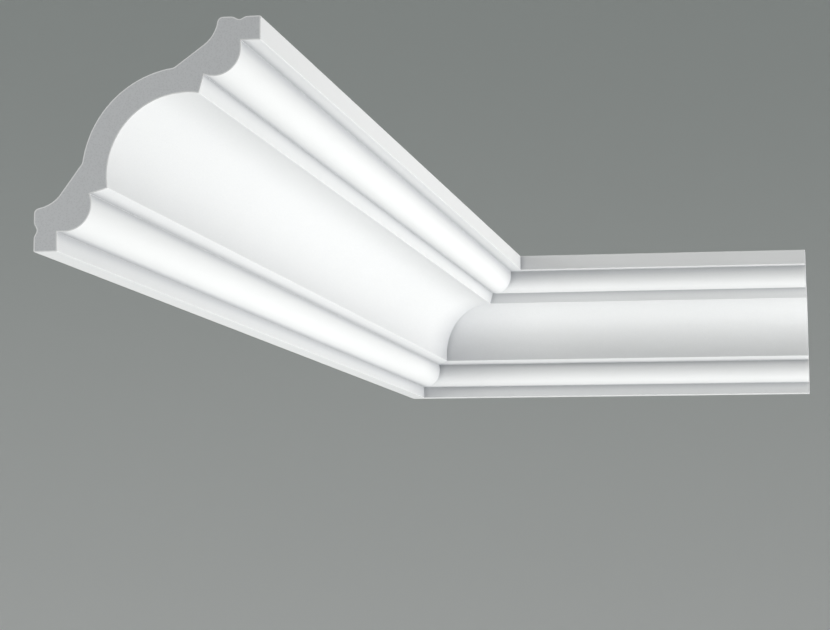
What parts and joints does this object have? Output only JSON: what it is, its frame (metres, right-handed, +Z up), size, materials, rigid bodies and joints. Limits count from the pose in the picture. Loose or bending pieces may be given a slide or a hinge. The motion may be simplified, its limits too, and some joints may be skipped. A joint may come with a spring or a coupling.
{
  "type": "cornice moulding corner section",
  "caption": "Cove cornice for the inside corner of a room: lengths with edge strips, quarter rounds, steps and a cove, mitred together; grooved pads at wall and ceiling take the glue.",
  "frame": {"origin": "on the long run's wall pad, halfway along the run and in the middle of the flat land below the glue groove", "axes": "+X out of the long run's wall into the room; +Y along the long run towards the corner of the room; +Z up to the ceiling"},
  "size_m": [0.39, 1.16, 0.125],
  "materials": {
    "primed_polymer": "matt white factory primer on a hard, fine-celled light grey polymer, which shows on the cut ends"
  },
  "bodies": {
    "root": {"long_run": "primed_polymer", "short_run": "primed_polymer"}
  },
  "joints": []
}
